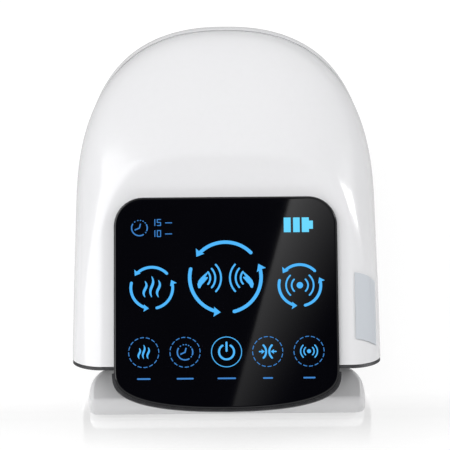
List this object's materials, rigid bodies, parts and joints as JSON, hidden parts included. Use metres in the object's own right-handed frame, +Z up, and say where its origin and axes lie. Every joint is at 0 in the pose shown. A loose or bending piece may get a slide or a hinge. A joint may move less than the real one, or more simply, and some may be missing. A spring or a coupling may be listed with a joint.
{
  "type": "hand massager",
  "caption": "Table-top air-compression hand massager: helmet-shaped white shell over a low base, with a sloping black touch panel above an open hand space.",
  "frame": {"origin": "on the table, under the middle of the body's bounding box", "axes": "+X to the user's right, -Y towards the user at the hand mouth, +Z up"},
  "size_m": [0.179, 0.254, 0.1195],
  "materials": {
    "shell_white": "glossy white painted ABS",
    "base_white": "satin white moulded plastic",
    "dark_trim": "satin dark grey moulded plastic",
    "panel_glass": "glossy black-printed cover glass",
    "light_guide": "frosted light guide with lit blue symbols",
    "circuit_board": "green solder mask",
    "black_part": "black moulded plastic",
    "steel": "bright plated steel",
    "brass": "turned brass",
    "inner_plastic": "natural moulded plastic",
    "rubber": "matt black rubber",
    "clear_hose": "milky silicone hose",
    "liner_fabric": "grey knitted lining over foam",
    "bag_film": "dark coated airbag film",
    "heat_film": "amber polyimide film",
    "label_foil": "silver-grey satin foil",
    "battery_foil": "blue-grey laminate pouch"
  },
  "bodies": {
    "housing": {"upper_shell": "shell_white", "skirt_shell": "shell_white", "shell_trim": "dark_trim", "front_bezel": "dark_trim", "panel_frame": "dark_trim", "cover_glass": "panel_glass", "light_guide": "light_guide", "touch_board": "circuit_board", "rating_label": "label_foil", "lower_base": "base_white", "bottom_cover": "base_white", "chassis_plate": "inner_plastic", "main_board": "circuit_board", "buzzer": "black_part", "panel_ribbon": "inner_plastic", "wire_harness": "black_part", "pump_motor": "steel", "pump_housing": "black_part", "pump_diaphragm": "rubber", "pump_cap": "black_part", "pump_cradle": "rubber", "air_manifold": "inner_plastic", "air_hose_main": "clear_hose", "air_hose_1": "clear_hose", "air_hose_2": "clear_hose", "air_hose_3": "clear_hose", "airbag_wrist": "bag_film", "airbag_palm": "bag_film", "airbag_fingers": "bag_film", "cavity_liner": "liner_fabric", "heating_film": "heat_film", "palm_plate": "inner_plastic", "charge_socket": "steel", "valve_body_1": "steel", "valve_spring_1": "steel", "vibration_motor_1": "steel", "vibration_clamp_1": "steel", "battery_cell_1": "battery_foil", "valve_body_2": "steel", "valve_spring_2": "steel", "vibration_motor_2": "steel", "vibration_clamp_2": "steel", "battery_cell_2": "battery_foil", "rubber_foot_1": "rubber", "cover_screw_1": "steel", "body_screw_1": "steel", "rubber_foot_2": "rubber", "cover_screw_2": "steel", "body_screw_2": "steel", "rubber_foot_3": "rubber", "cover_screw_3": "steel", "body_screw_3": "steel", "rubber_foot_4": "rubber", "cover_screw_4": "steel", "body_screw_4": "steel"},
    "pump_crank": {"pump_crank": "brass"},
    "vibration_weight_1": {"vibration_weight_1": "brass"},
    "vibration_weight_2": {"vibration_weight_2": "brass"},
    "valve_plunger_1": {"valve_plunger_1": "brass"},
    "valve_plunger_2": {"valve_plunger_2": "brass"}
  },
  "joints": [
    {"name": "crank_spin", "type": "hinge", "parent": "housing", "child": "pump_crank", "pos_m": [-0.01, 0.05196, 0.0905], "axis": [1, 0, 0], "continuous": true},
    {"name": "weight_spin_1", "type": "hinge", "parent": "housing", "child": "vibration_weight_1", "pos_m": [-0.036, -0.034, 0.0108], "axis": [1, 0, 0], "continuous": true},
    {"name": "weight_spin_2", "type": "hinge", "parent": "housing", "child": "vibration_weight_2", "pos_m": [0.036, -0.034, 0.0108], "axis": [1, 0, 0], "continuous": true},
    {"name": "valve_press_1", "type": "slide", "parent": "housing", "child": "valve_plunger_1", "axis": [0, 0, 1], "range_m": [-0.001, 0], "stiffness_N_per_m": 120, "deforming": ["valve_spring_1"]},
    {"name": "valve_press_2", "type": "slide", "parent": "housing", "child": "valve_plunger_2", "axis": [0, 0, 1], "range_m": [-0.001, 0], "stiffness_N_per_m": 120, "deforming": ["valve_spring_2"]}
  ]
}
